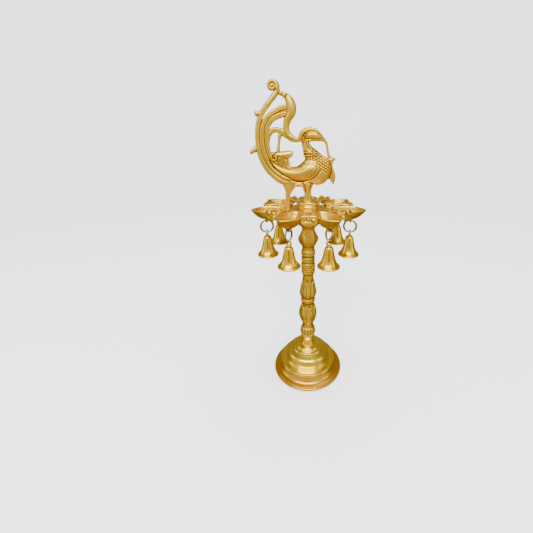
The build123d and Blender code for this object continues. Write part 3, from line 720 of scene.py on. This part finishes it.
def lower_stem():
    """Collar and leaf balusters between the base and the drum."""
    z = BASE_TOP
    outer = [(0, 9.9), (0.8, 10.3), (4, 11.6), (8.3, 12.5), (12.6, 12.0), (15.8, 10.9), (17.4, 10.0),
             (18.4, 9.3), (21, 8.8), (24.4, 8.9), (27, 9.4), (31, 10.6), (36.5, 12.2), (42, 13.3),
             (48, 12.7), (54, 11.2),
             (59, 10.1), (62.4, 9.4), (63.6, 9.7), (65.2, 10.7), (67.7, 11.0), (70.2, 10.7), (71.8, 9.9),
             (73.2, 9.8), (75, 10.8), (78, 12.0), (82, 12.1), (87, 11.2), (93, 10.1), (100, 8.9), (107, 8.2),
             (110.5, 8.2)]
    curve = smooth(outer, 300)
    profile = spigot(z, -1) + [(9.6, z)]
    profile += [(r, z + h) for h, r in curve]
    top = STEM_JOINT
    floor = top - SOCKET_DEPTH
    profile += [(8.1, top), (SOCKET_RADIUS, top), (SOCKET_RADIUS, floor), (0.02, floor)]
    relief = relief_only(lower_stem_radius, z, top)
    obj = build("stem_lower_section", [lathe(profile, STEM_SEGMENTS, relief)])
    mark_worn_and_shaded(obj, 4, 3.0)
    return finish_piece(obj, CAST, "stand", "cast_brass", "lower_stem")


def relief_only(relief, start, end):
    """Relief kept to the visible outside between two heights; spigots and sockets stay round."""
    def shaped(radius, height, angle):
        if radius[0] < SOCKET_LIMIT or not start < height < end:
            return radius
        return relief(radius, height, angle)
    return shaped


def upper_stem():
    """Banded drum, knob and flared top under the tray."""
    z = STEM_JOINT
    top = z + 75.5
    outer = [(0, 8.5), (1.6, 8.6), (2.8, 9.1), (3.6, 9.9), (5, 10.0), (12, 10.0), (18.8, 10.0), (20.0, 9.7),
             (20.8, 9.1), (22.0, 9.1), (22.8, 9.9), (24.2, 10.1), (28.4, 10.1), (29.6, 9.8), (30.4, 9.1),
             (31.6, 9.1), (32.6, 9.9), (34, 10.1), (39.4, 10.1), (40.6, 9.8), (41.6, 9.2), (44, 9.1),
             (46.8, 9.5), (48.6, 10.8), (50.6, 12.4), (53.8, 14.0), (57.4, 15.0), (60.6, 14.4),
             (63.6, 12.8), (67, 10.9),
             (70, 9.6), (72.4, 9.3), (74.4, 9.7), (75.5, 10.2)]
    curve = smooth(outer, 300)
    profile = spigot(z, -1) + [(8.3, z)]
    profile += [(r, z + h) for h, r in curve]
    profile += [(9.9, top)] + spigot(top, 1)[::-1]
    relief = relief_only(upper_stem_radius, z, top)
    obj = build("stem_upper_section", [lathe(profile, STEM_SEGMENTS, relief)])
    mark_worn_and_shaded(obj, 4, 3.0)
    return finish_piece(obj, CAST, "stand", "cast_brass", "upper_stem")


def base_painted_shade(places):
    """Painted shade on the cove and the flange: darker from 43 mm out from the axis, fully from 48 mm."""
    return 0.10 * smooth_step(np.hypot(places[:, 0], places[:, 1]), 43.0, 48.0)


def base():
    """Hollow turned dome on a thin flange, with crisp steps and a waisted neck."""
    radius = (high("base") - low("base"))[0] / 2
    top = BASE_TOP
    inside = [(0.02, 43.6, 0), (16.8, 43.6, 1.2), (16.8, 40.2, 0.8), (21.6, 40.2, 0.8), (21.8, 38.6, 0.4),
              (31.6, 33.0, 12), (32.4, 20.6, 1.0), (32.4, 17.2, 0.8), (41.4, 17.2, 1.2), (41.6, 14.0, 1.5),
              (43.2, 6.2, 9), (50.4, 3.4, 1.0), (50.6, 0, 0.4)]
    flange = [(radius - 0.5, 0, 0.5), (radius, 1.0, 1.0), (radius, 2.6, 1.0), (radius - 0.8, 3.3, 0.7),
              (radius - 3.0, 3.5, 0.8)]
    cove = [(radius - 3.4, 4.4, 0.5), (47.6, 5.6, 8), (44.8, 9.5, 9), (44.0, 15.4, 0.7), (44.9, 16.2, 0.8),
            (45.1, 18.3, 1.0), (44.2, 19.6, 0.9)]
    tread = [(41.6, 19.9, 1.0), (36.2, 19.5, 0.7), (35.6, 20.2, 0.5), (35.6, 21.8, 0.8), (34.5, 23.0, 0.6)]
    dome = [(34.2, 34.0, 15), (24.6, 38.7, 0.5), (25.0, 39.4, 0.5), (25.1, 41.4, 0.9), (24.2, 42.6, 0.7)]
    crown = [(20.4, 42.8, 0.6), (19.6, 43.4, 0.5), (19.7, 45.0, 0.8), (18.8, 46.0, 0.6), (13.4, 46.3, 0.8),
             (10.4, 47.0, 2.5), (9.7, 51.0, 8), (9.3, 57.0, 12), (9.9, 60.6, 2.0), (10.2, top, 0.3)]
    bore = [(5.1, top, 0.2), (5.1, 46.1, 0.2), (0.02, 46.1, 0)]
    profile = filleted(inside + flange + cove + tread + dome + crown + bore)
    obj = build("turned_base", [lathe(profile, 224)])
    mark_worn_and_shaded(obj, 1, 0.25, base_painted_shade)
    return finish_piece(obj, POLISHED, "stand", "polished_brass", "base")


def seat():
    """Two-step turned disc between the tray and the bird."""
    z, top = HUB_TOP, SEAT_TOP
    radius = (high("finial_seat") - low("finial_seat"))[0] / 2
    step = z + 0.52 * (top - z)
    corners = [(0.02, z, 0), (radius - 0.6, z, 0.3), (radius, z + 1.2, 1.5), (radius, step - 1.4, 1.5),
               (radius - 1.0, step, 0.6), (radius - 1.9, step + 0.3, 0.5), (radius - 1.5, step + 1.8, 2.0),
               (radius - 1.7, top - 1.2, 1.4), (radius - 3.4, top, 1.2), (0.02, top, 0)]
    obj = build("finial_disc", [lathe(filleted(corners), 160)])
    mark_worn_and_shaded(obj, 1, 0.25)
    return finish_piece(obj, POLISHED, "stand", "polished_brass", "finial_seat")


# ---------------------------------------------------------------- bells, rings and clappers
def station_angle(number, offset=0.5):
    """Direction of a station of the tray, from the +X axis."""
    return -TURN / 4 + TURN / LAMPS * (number + offset)


def cut_ring(centre, major, minor):
    """Jump ring in the X-Z plane, worn thinner where it bears; its ends meet with a hairline slit."""
    slit = 0.18 / major
    start = math.radians(200)
    points = []
    for share in np.linspace(0, 1, 56):
        a = start + slit / 2 + (TURN - slit) * share
        points.append((centre[0] + major * math.cos(a), 0.0, centre[2] + major * math.sin(a)))
    s = np.array(points)
    tangent = np.gradient(s, axis=0)
    tangent /= np.linalg.norm(tangent, axis=1)[:, None]
    angle = np.arange(18) / 18 * TURN
    rings = []
    for p, t in zip(s, tangent):
        side = np.cross(t, [0, 1, 0])
        away = min(1.0, max(0.0, 2.2 * abs(p[0] - centre[0]) / major - 0.95))
        stout = minor * (1 + 0.45 * away)
        rings.append(p + stout * (np.outer(np.cos(angle), side) + np.outer(np.sin(angle), [0, 1, 0])))
    return skin(rings)


def unite(obj, *others):
    """Joins closed shapes into one closed surface and removes the helpers."""
    for other in others:
        cut = obj.modifiers.new("join", "BOOLEAN")
        cut.operation = "UNION"
        cut.solver = "EXACT"
        cut.object = other
    settle(obj)
    for other in others:
        bpy.data.objects.remove(other)


def cast_eye(centre, major, wire, stretch=0.9, rows=56, sides=20):
    """Eye of a bell: a ring drawn downwards and stouter at its foot than where it bears."""
    u = np.arange(rows) / rows * TURN
    v = np.arange(sides) / sides * TURN
    foot = np.maximum(0.0, -np.sin(u))
    stout = wire + 0.6 * foot
    across = (major + stout[:, None] * np.cos(v)) * np.cos(u)[:, None]
    tall = (major + stretch * foot[:, None] + stout[:, None] * np.cos(v)) * np.sin(u)[:, None]
    verts = np.stack([stout[:, None] * np.sin(v), across, tall], -1).reshape(-1, 3) + np.array(centre, float)
    _, faces = torus(centre, major, wire, "x", rows, sides)
    return verts, faces


def bell_shapes():
    """Shell, crown eye and staple of one bell, drawn on the X axis at the bell circle."""
    bell_low, bell_high = low("bell_4"), high("bell_4")
    rim = bell_low[2]
    radius = (bell_high - bell_low)[0] / 2
    eye_major, eye_wire = 3.2, 1.25
    eye_z = bell_high[2] - eye_wire - eye_major
    crown = eye_z - eye_major - eye_wire + 0.5
    tall = crown - rim
    flare = [(0.0, 0.985), (0.022, 1.0), (0.055, 0.985), (0.10, 0.90), (0.15, 0.815), (0.24, 0.70),
             (0.36, 0.60), (0.48, 0.54), (0.60, 0.495), (0.72, 0.45), (0.82, 0.405), (0.90, 0.36),
             (0.96, 0.29), (0.99, 0.17), (1.0, 0.004)]
    outside = smooth([(radius * r, rim + tall * h) for h, r in flare], 90)
    wall = 1.2
    inside = [(max(0.02, radius * r - wall), rim + (tall - wall) * h) for h, r in flare[2:]]
    inside = smooth([(radius - wall - 0.2, rim + 0.2)] + inside, 60)[::-1]
    for share, depth in ((0.155, 0.16), (0.20, 0.16), (0.86, 0.14)):
        gap = (outside[:, 1] - rim - tall * share) / 0.28
        outside[:, 0] -= depth * np.exp(-(gap**2)) * (outside[:, 0] > 1.0)
    shell = lathe(list(inside) + list(outside), 128)
    move = np.array([BELL_CIRCLE, 0, 0])
    shell = (shell[0] + move, shell[1])
    eye = cast_eye((BELL_CIRCLE, 0, eye_z), eye_major, eye_wire)
    foot = ball((BELL_CIRCLE, 0, crown - 0.2), (2.5, 3.1, 2.0), 14, 28)
    staple_z = crown - 2.7
    staple = torus((BELL_CIRCLE, 0, staple_z + 0.02), 2.0, 0.6, "x", 36, 12)
    return shell, eye, foot, staple


def bells():
    """Bells, jump rings and clappers at every station."""
    shell, eye, foot, staple = bell_shapes()
    master = build("bell_master", [shell])
    unite(master, *[build(f"helper_{k}", [s]) for k, s in enumerate((eye, foot, staple))])
    mark_worn_and_shaded(master, 1, 0.2)
    ring_low, ring_high = low("bell_ring_4"), high("bell_ring_4")
    wire = (ring_high - ring_low)[0] / 2
    major = (ring_high - ring_low)[2] / 2 - wire
    centre = (BELL_CIRCLE, 0, 0.5 * (ring_low + ring_high)[2])
    clapper_low, clapper_high = low("clapper_1"), high("clapper_1")
    eye_z = clapper_high[2] - 2.6
    bottom = clapper_low[2]
    drop = [(0.02, bottom, 0), (1.6, bottom + 0.1, 0.9), (3.0, bottom + 2.4, 1.8), (2.5, bottom + 4.6, 1.6),
            (1.0, bottom + 7.2, 2.0), (0.75, bottom + 9.0, 2.0), (0.75, eye_z - 2.3, 0.3),
            (0.02, eye_z - 2.0, 0)]
    tongue = lathe(filleted(drop), 40)
    tongue = (tongue[0] + np.array([BELL_CIRCLE, 0, 0]), tongue[1])
    hanger = torus((BELL_CIRCLE, 0, eye_z), 2.0, 0.6, "y", 36, 12)
    clapper_master = build("clapper_master", [tongue])
    unite(clapper_master, build("helper_hanger", [hanger]))
    mark_worn_and_shaded(clapper_master, 1, 0.3)
    ring_master = build("ring_master", [cut_ring(centre, major, wire)])
    mark_worn_and_shaded(ring_master, 1, 0.3)
    kinds = ((master, "hung_bell", "bell", BELL, "bell_brass"),
             (ring_master, "jump_ring", "bell_ring", AGED, "aged_brass"),
             (clapper_master, "tongue", "clapper", AGED, "aged_brass"))
    for source, name, node, material, slot in kinds:
        body = {"bell": "bell_body", "bell_ring": "ring_body", "clapper": "clapper_body"}[node]
        for number in range(LAMPS):
            angle = station_angle(number)
            mesh = source.data.copy()
            copy = bpy.data.objects.new(f"{name}_{number + 1}", mesh)
            bpy.context.scene.collection.objects.link(copy)
            places, _ = coordinates(copy)
            places, _ = turned_by((places, None), angle)
            mesh.vertices.foreach_set("co", (places * MM).astype(np.float32).ravel())
            mesh.update()
            finish_piece(copy, material, f"{body}_{number + 1}", slot, f"{node}_{number + 1}")
        bpy.data.objects.remove(source)


# ---------------------------------------------------------------- lamp tray
RIM = HUB_TOP + 1.7
BOWL_BOTTOM = RIM - 12.2
TIP = 78.16


def leaf_ring(inner, corner, tip, half, height, count=104):
    """Leaf-shaped outline with its point along +X, as a ring of points."""
    share = np.arange(count) / count
    side = np.where(share < 0.5, 1.0, -1.0)
    run = np.where(share < 0.5, share * 2, 2 - share * 2)
    split = 0.62
    back = np.clip(run / split, 0, 1)
    front = np.clip((run - split) / (1 - split), 0, 1)
    x = np.where(run < split, inner + (corner - inner) * (1 - np.cos(back * math.pi / 2)) ** 0.86,
                 corner + (tip - corner) * front)
    y_back = half * np.sin(back * math.pi / 2) ** 0.92
    y_front = half * (1 - front**1.6) ** 0.85
    y = side * np.where(run < split, y_back, y_front)
    return np.stack([x, y, np.full(count, height)], 1)


def oil_well():
    """Leaf-shaped bowl with a raised lip and a pointed spout for the wick."""
    rings = []
    inner, corner, tip, half = 30.0, 60.0, TIP, 15.0
    deep = RIM - BOWL_BOTTOM

    def level(share, wall, lift):
        """Outline at a share of the depth, drawn in by the wall."""
        swell = share**0.36
        back = corner - 3.0 - (corner - 3.0 - inner - wall * 1.2) * swell
        point = corner + 1.0 + (tip - corner - 1.0 - wall * 2.0) * (0.3 * swell + 0.7 * share**1.1)
        width = (half - wall) * swell
        return leaf_ring(back, corner - 3.0 + 3.0 * share, point, max(width, 0.3), BOWL_BOTTOM + lift)

    for share in np.linspace(0.02, 1.0, 16):
        rings.append(level(share, 0.0, deep * share**1.7))
    rings.append(level(1.0, -0.3, deep + 0.5))
    rings.append(level(1.0, 0.0, deep + 1.2))
    rings.append(level(1.0, 0.6, deep + 1.5))
    rings.append(level(1.0, 1.4, deep + 1.2))
    rings.append(level(1.0, 1.8, deep + 0.2))
    floor = 1.7
    for share in np.linspace(1.0, 0.02, 18):
        rings.append(level(share * 0.985, 1.9, floor + (deep - floor) * share**2.1))
    return skin(rings)


def lug():
    """Rounded tab with the ring's hole, drawn on the X axis at the bell circle."""
    ring_low, ring_high = low("bell_ring_4"), high("bell_ring_4")
    wire = (ring_high - ring_low)[0] / 2
    hole = 1.7
    hole_z = ring_high[2] - 2 * wire + hole - 0.15
    thick = 1.5
    rings = []
    for a in np.arange(64) / 64 * TURN:
        c, s = math.cos(a), math.sin(a)
        side = (4.7 + 2.6 * max(s, 0.0)) / max(abs(c), 1e-6)
        up = (BOWL_BOTTOM + 2.5 - hole_z) / max(s, 1e-6) if s > 0 else 1e9
        down = 4.1 if s <= 0 else 1e9
        reach = min(side, up, down)
        section = [(-thick, hole + 0.35), (-thick, reach - 0.4), (-thick + 0.4, reach), (thick - 0.4, reach),
                   (thick, reach - 0.4), (thick, hole + 0.35), (thick - 0.5, hole), (-thick + 0.5, hole)]
        rings.append([(BELL_CIRCLE + x, r * c, hole_z + r * s) for x, r in section])
    rings = np.array(rings)
    count, around = rings.shape[:2]
    i = np.arange(count)[:, None]
    j = np.arange(around)[None, :]
    a = i * around + j
    b = i * around + (j + 1) % around
    c = ((i + 1) % count) * around + (j + 1) % around
    d = ((i + 1) % count) * around + j
    return rings.reshape(-1, 3), np.stack([a, b, c, d], -1).reshape(-1, 4).tolist()


def blade(points, widths, thick, cup):
    """Leaf blade along a curve in the X-Z plane; its edges are cupped upwards."""
    line = np.column_stack([points, widths, thick])
    s = smooth(line, 40)
    tangent = np.gradient(s[:, :2], axis=0)
    tangent /= np.linalg.norm(tangent, axis=1)[:, None] + 1e-9
    angle = np.arange(28) / 28 * TURN
    rings = []
    for (x, z, w, t), (tx, tz) in zip(s, tangent):
        lift = t * np.sin(angle) + cup * np.cos(angle) ** 2
        rings.append(np.stack([x - tz * lift, w * np.cos(angle), z + tx * lift], 1))
    return skin(rings)


def scroll_shapes():
    """Curled leaf between two wells: a dipping blade, volutes at its brow and beads on its crest."""
    z = HUB_TOP
    shapes = [
        blade([(25, z - 1.5), (34, z + 0.8), (43, z + 2.6), (50, z + 3.6), (55.4, z + 3.4), (59.4, z + 0.8),
               (61.2, z - 3.4), (60.4, z - 6.8)], [2.4, 3.6, 4.4, 5.6, 7.8, 9.6, 9.0, 4.6],
              [1.4, 1.6, 1.8, 1.8, 1.9, 2.0, 2.0, 1.4], 1.0),
        bar([(26, 0, z + 0.4), (34, 0, z + 2.2), (43, 0, z + 4.0), (49, 0, z + 4.9), (54, 0, z + 4.2)],
            [1.2, 1.5, 1.8, 1.9, 1.3], 14),
    ]
    for side in (-1, 1):
        curl = []
        for share in np.linspace(0, 1, 18):
            a = math.radians(150 - 470 * share)
            r = 4.6 - 3.4 * share
            curl.append((60.8 + 0.6 * share, side * (5.0 - r * math.cos(a)), z + 1.2 + r * math.sin(a)))
        shapes.append(bar(curl, taper(1.7, 1.2, 18), 12))
        hook = [(41, side * 3.0, z + 2.8), (47, side * 4.6, z + 3.8), (53, side * 7.0, z + 3.4),
                (58, side * 9.4, z + 0.4)]
        shapes.append(bar(hook, [1.0, 1.4, 1.6, 1.2], 14))
        for number in range(3):
            share = number / 2
            seat_of_bead = (37 + 14 * share, side * (2.2 + 2.6 * share), z + 3.4 + 1.4 * share)
            shapes.append(ball(seat_of_bead, 1.3 + 0.5 * share))
        lip = [(60.8, side * 8.4, z - 2.6), (61.4, side * 4.6, z - 5.2), (61.2, 0, z - 6.4)]
        shapes.append(bar(lip, [1.0, 1.4, 1.5], 12))
    shapes.append(ball((61.4, 5.0, z + 1.2), (2.2, 2.6, 2.6)))
    shapes.append(ball((60.6, 2.2, z + 5.2), (1.6, 2.0, 1.6)))
    return shapes


def tray_hub():
    """Flared hub with a dished top."""
    z0 = HUB_FOOT
    z = HUB_TOP
    corners = [(0.02, z0 + 0.02, 0), (10.0, z0 + 0.02, 0.3), (10.6, z0 + 0.6, 0.8), (13.6, z0 + 3.2, 6),
               (17.5, z0 + 6.5, 8),
               (24, z0 + 12.5, 12), (31, z0 + 16.6, 8), (35.6, z - 7.6, 1.5), (36.0, z - 5.6, 1.2),
               (33.4, z - 3.6, 1.0), (32.4, z - 0.4, 1.0), (29.0, z, 1.0), (0.02, z, 0)]
    return lathe(filleted(corners), 128)


def lamp_tray():
    """One casting: hub, seven oil wells, seven curled leaves and seven lugs."""
    shapes = [tray_hub()]
    well, tab, scroll = oil_well(), lug(), scroll_shapes()
    for number in range(LAMPS):
        shapes.append(turned_by(well, station_angle(number)))
        shapes.append(turned_by(tab, station_angle(number)))
        for piece in scroll:
            shapes.append(turned_by(piece, station_angle(number, 0.0)))
    obj = build("lamp_tray_casting", shapes)
    fuse(obj, 0.5, 1)
    mark_worn_and_shaded(obj, 3, 1.4)
    return finish_piece(obj, CAST, "stand", "cast_brass", "lamp_tray")


lower_stem()
upper_stem()
base()
seat()
bells()
lamp_tray()


# ---------------------------------------------------------------- camera, light and floor
def plain(name, colour, rough):
    """Matte studio surface."""
    material = bpy.data.materials.new(name)
    material.use_nodes = True
    shader = material.node_tree.nodes["Principled BSDF"]
    shader.inputs["Base Color"].default_value = (*colour, 1)
    shader.inputs["Roughness"].default_value = rough
    return material


def soft_light(name, place, target, size, power, colour=(1.0, 1.0, 1.0)):
    """Rectangular softbox aimed at a point; places in metres."""
    data = bpy.data.lights.new(name, "AREA")
    data.shape = "RECTANGLE"
    data.size, data.size_y = size
    data.energy = power
    data.color = colour
    obj = bpy.data.objects.new(name, data)
    bpy.context.scene.collection.objects.link(obj)
    obj.location = place
    obj.rotation_mode = "QUATERNION"
    obj.rotation_quaternion = (Vector(target) - Vector(place)).to_track_quat("-Z", "Y")
    return obj


def backdrop():
    """Sheet of pale paper: flat under the lamp and bent up behind it."""
    bend, wall = 1.2, 1.4
    run = [(-4.0, 0.0), (-1.5, 0.0), (0.0, 0.0), (wall - 0.4, 0.0)]
    run += [(wall + bend * math.sin(a), bend - bend * math.cos(a)) for a in np.linspace(0, math.pi / 2, 24)]
    run += [(wall + bend, 3.0), (wall + bend, 6.0)]
    verts = [(x, y, z) for y, z in run for x in (-6.0, 6.0)]
    faces = [(2 * k, 2 * k + 1, 2 * k + 3, 2 * k + 2) for k in range(len(run) - 1)]
    mesh = bpy.data.meshes.new("backdrop")
    mesh.from_pydata(verts, [], faces)
    mesh.polygons.foreach_set("use_smooth", [True] * len(faces))
    mesh.materials.append(plain("floor_paper", (0.86, 0.865, 0.88), 0.9))
    obj = bpy.data.objects.new("backdrop", mesh)
    bpy.context.scene.collection.objects.link(obj)
    obj.visible_glossy = False


def tent():
    """Dim room round the lamp that only the metal mirrors: warm below, paler overhead."""
    material = bpy.data.materials.new("tent_cloth")
    material.use_nodes = True
    nodes, links = material.node_tree.nodes, material.node_tree.links
    glow = nodes.new("ShaderNodeEmission")
    glow.inputs["Strength"].default_value = 1.0
    split = nodes.new("ShaderNodeSeparateXYZ")
    links.new(nodes.new("ShaderNodeTexCoord").outputs["Object"], split.inputs["Vector"])
    shares = []
    for axis in ("Z", "Y"):
        share = nodes.new("ShaderNodeMapRange")
        share.inputs["From Min"].default_value = -1.0
        share.inputs["From Max"].default_value = 1.0
        links.new(split.outputs[axis], share.inputs["Value"])
        shares.append(share.outputs["Result"])
    rise = ramp(nodes, [(0.0, (0.42, 0.34, 0.22)), (0.3, (0.78, 0.71, 0.58)), (0.5, (0.86, 0.82, 0.75)),
                        (1.0, (1.0, 0.99, 0.96))])
    facing = ramp(nodes, [(0.0, (1.0, 1.0, 1.0)), (0.3, (0.92, 0.90, 0.86)), (0.5, (0.34, 0.27, 0.18)),
                          (1.0, (0.44, 0.36, 0.26))])
    links.new(shares[0], rise.inputs["Fac"])
    links.new(shares[1], facing.inputs["Fac"])
    whole = nodes.new("ShaderNodeMix")
    whole.data_type = "RGBA"
    whole.blend_type = "MULTIPLY"
    whole.inputs["Factor"].default_value = 1.0
    links.new(rise.outputs["Color"], whole.inputs["A"])
    links.new(facing.outputs["Color"], whole.inputs["B"])
    links.new(whole.outputs["Result"], glow.inputs["Color"])
    links.new(glow.outputs["Emission"], nodes["Material Output"].inputs["Surface"])
    bpy.ops.mesh.primitive_uv_sphere_add(segments=48, ring_count=24, radius=1.0, location=(0, 0, 0.2))
    dome = bpy.context.object
    dome.name = "tent"
    dome.scale = (2.2, 2.2, 2.2)
    dome.data.materials.append(material)
    dome.visible_camera = False
    dome.visible_diffuse = False
    dome.visible_shadow = False


def studio():
    """Pale paper sweep, soft surround, softboxes and the dim tent."""
    world = bpy.data.worlds.new("surround")
    world.use_nodes = True
    world.node_tree.nodes["Background"].inputs["Color"].default_value = (0.97, 0.985, 1.0, 1)
    world.node_tree.nodes["Background"].inputs["Strength"].default_value = 3.1
    bpy.context.scene.world = world
    backdrop()
    tent()
    middle = (0, 0, 0.22)
    soft_light("key", (-0.12, -1.0, 1.25), middle, (1.7, 0.55), 27)
    soft_light("fill", (1.1, -0.5, 0.6), middle, (0.4, 0.9), 1.5)
    soft_light("left", (-1.2, -0.1, 0.5), middle, (0.4, 0.9), 2)
    soft_light("top", (0.1, 0.2, 1.5), middle, (0.8, 0.8), 6)
    card = plain("dark_card", (0.08, 0.05, 0.02), 0.9)
    bpy.ops.mesh.primitive_plane_add(size=1.0, location=(0.0, -1.2, 0.3))
    panel = bpy.context.object
    panel.name = "dark_card"
    panel.scale = (0.62, 0.36, 1)
    panel.rotation_euler = (math.pi / 2, 0, 0)
    panel.data.materials.append(card)
    panel.visible_camera = False
    panel.visible_shadow = False
    panel.visible_diffuse = False


def camera():
    """Camera at the height and tilt that the lamp is seen from, with a wide lens close by."""
    data = bpy.data.cameras.new("camera")
    data.sensor_width = 36.0
    data.lens = 18.24
    data.shift_x = -0.0713
    data.shift_y = -0.0525
    data.clip_start = 0.01
    data.clip_end = 50.0
    data.dof.use_dof = False
    obj = bpy.data.objects.new("camera", data)
    bpy.context.scene.collection.objects.link(obj)
    obj.location = (-0.00544, -0.364, 0.3648)
    obj.rotation_euler = (math.radians(90 - 20.3), 0, 0)
    bpy.context.scene.camera = obj


studio()
camera()
